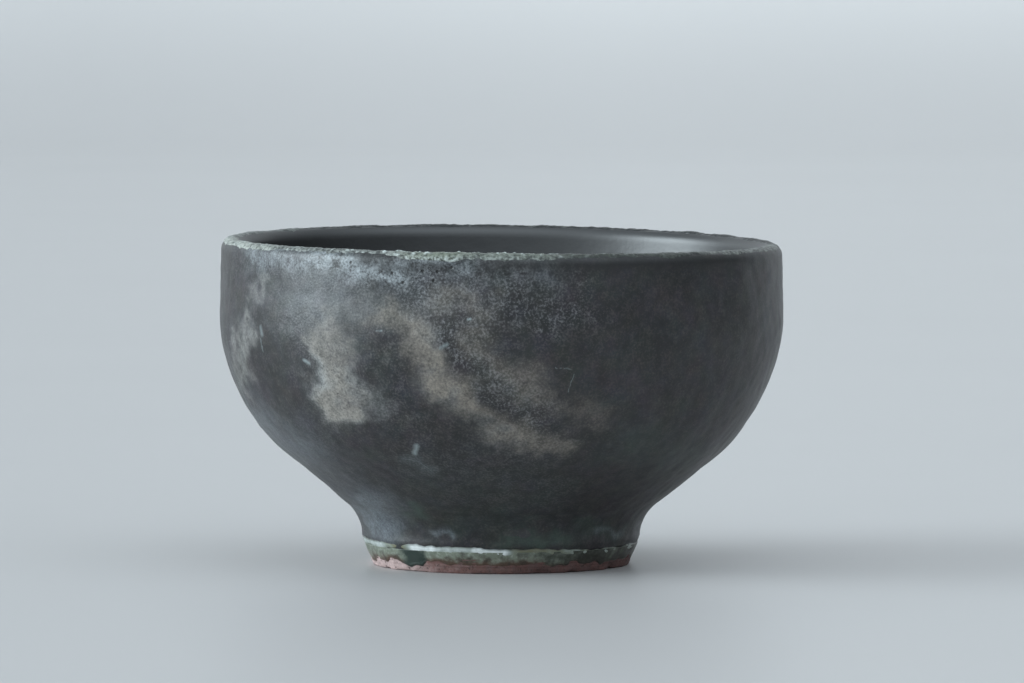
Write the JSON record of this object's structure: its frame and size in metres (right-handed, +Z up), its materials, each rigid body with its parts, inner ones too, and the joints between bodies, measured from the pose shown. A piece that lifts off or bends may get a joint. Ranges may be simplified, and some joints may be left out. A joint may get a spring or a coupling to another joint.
{
  "type": "sake cup",
  "caption": "Small round stoneware drinking cup with an upright lip, a rounded belly and a narrow turned foot ring, under a charcoal glaze.",
  "frame": {"origin": "centre of the standing face of the foot", "axes": "+Z up the axis that the cup was turned on, +Y away from the side that the picture shows"},
  "size_m": [0.07, 0.07, 0.0405],
  "materials": {
    "stoneware": "bare fired clay",
    "charcoal_glaze": "satin matt",
    "liner_glaze": "satin",
    "lip_glaze": "thin and satin",
    "pooled_glaze": "crystalline gloss",
    "olive_glaze": "thin gloss"
  },
  "bodies": {
    "root": {"clay_bowl": "stoneware", "foot_ring": "stoneware", "outer_glaze": "charcoal_glaze", "inner_glaze": "liner_glaze", "lip_glaze": "lip_glaze", "foot_glaze_roll": "pooled_glaze", "foot_glaze_skirt": "olive_glaze"}
  },
  "joints": []
}
